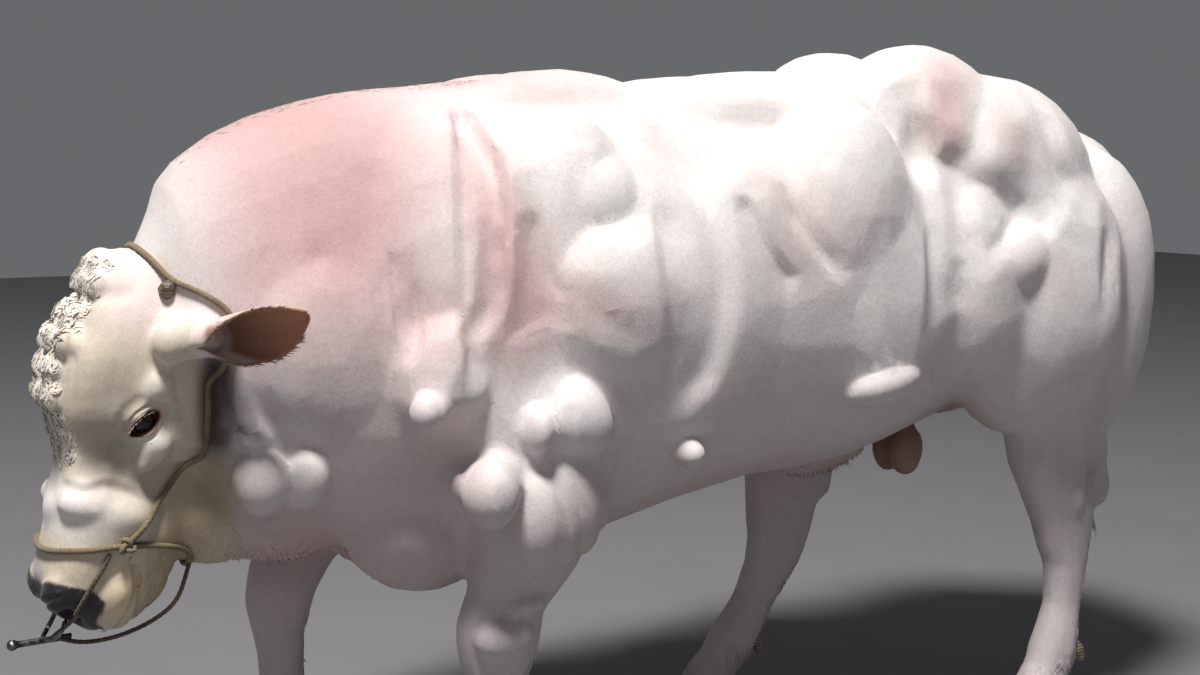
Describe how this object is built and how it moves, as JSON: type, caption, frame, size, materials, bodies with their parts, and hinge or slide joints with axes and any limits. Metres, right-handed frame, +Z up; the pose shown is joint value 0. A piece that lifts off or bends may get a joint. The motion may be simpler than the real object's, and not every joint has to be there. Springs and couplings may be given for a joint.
{
  "type": "cattle model",
  "caption": "Life-size still model of a double-muscled white bull walking with its head low, in a rope halter with nose tongs.",
  "frame": {"origin": "on the floor, under the middle of the whole model's footprint", "axes": "+Z up; the head is toward -X and the tail toward +X, so +X lies along the longest extent; the bull's own left side is toward -Y, and Y is the shortest extent"},
  "size_m": [2.5224, 0.7912, 1.5074],
  "materials": {
    "hide": "short matt white coat over pale skin",
    "face": "short matt cream coat, curly on the forehead",
    "ear": "thin-haired pink skin",
    "eye": "wet dark brown",
    "horn": "dull brown horn",
    "claw": "worn grey-brown horn",
    "rope": "twisted jute-coloured rope",
    "steel": "dark worn steel"
  },
  "bodies": {
    "root": {"halter_crown_rope": "rope", "halter_nose_rope": "rope", "head": "face", "left_ear": "ear", "left_eye": "eye", "left_fore_inner_claw": "claw", "left_fore_inner_dewclaw": "claw", "left_fore_outer_claw": "claw", "left_fore_outer_dewclaw": "claw", "left_foreleg": "hide", "left_hind_inner_claw": "claw", "left_hind_inner_dewclaw": "claw", "left_hind_outer_claw": "claw", "left_hind_outer_dewclaw": "claw", "left_hindleg": "hide", "left_horn_bud": "horn", "neck": "hide", "nose_tongs": "steel", "right_ear": "ear", "right_eye": "eye", "right_fore_inner_claw": "claw", "right_fore_inner_dewclaw": "claw", "right_fore_outer_claw": "claw", "right_fore_outer_dewclaw": "claw", "right_foreleg": "hide", "right_hind_inner_claw": "claw", "right_hind_inner_dewclaw": "claw", "right_hind_outer_claw": "claw", "right_hind_outer_dewclaw": "claw", "right_hindleg": "hide", "right_horn_bud": "horn", "scrotum": "ear", "tail": "hide", "tongs_cord": "rope", "tongs_strap": "rope", "torso": "hide"}
  },
  "joints": []
}
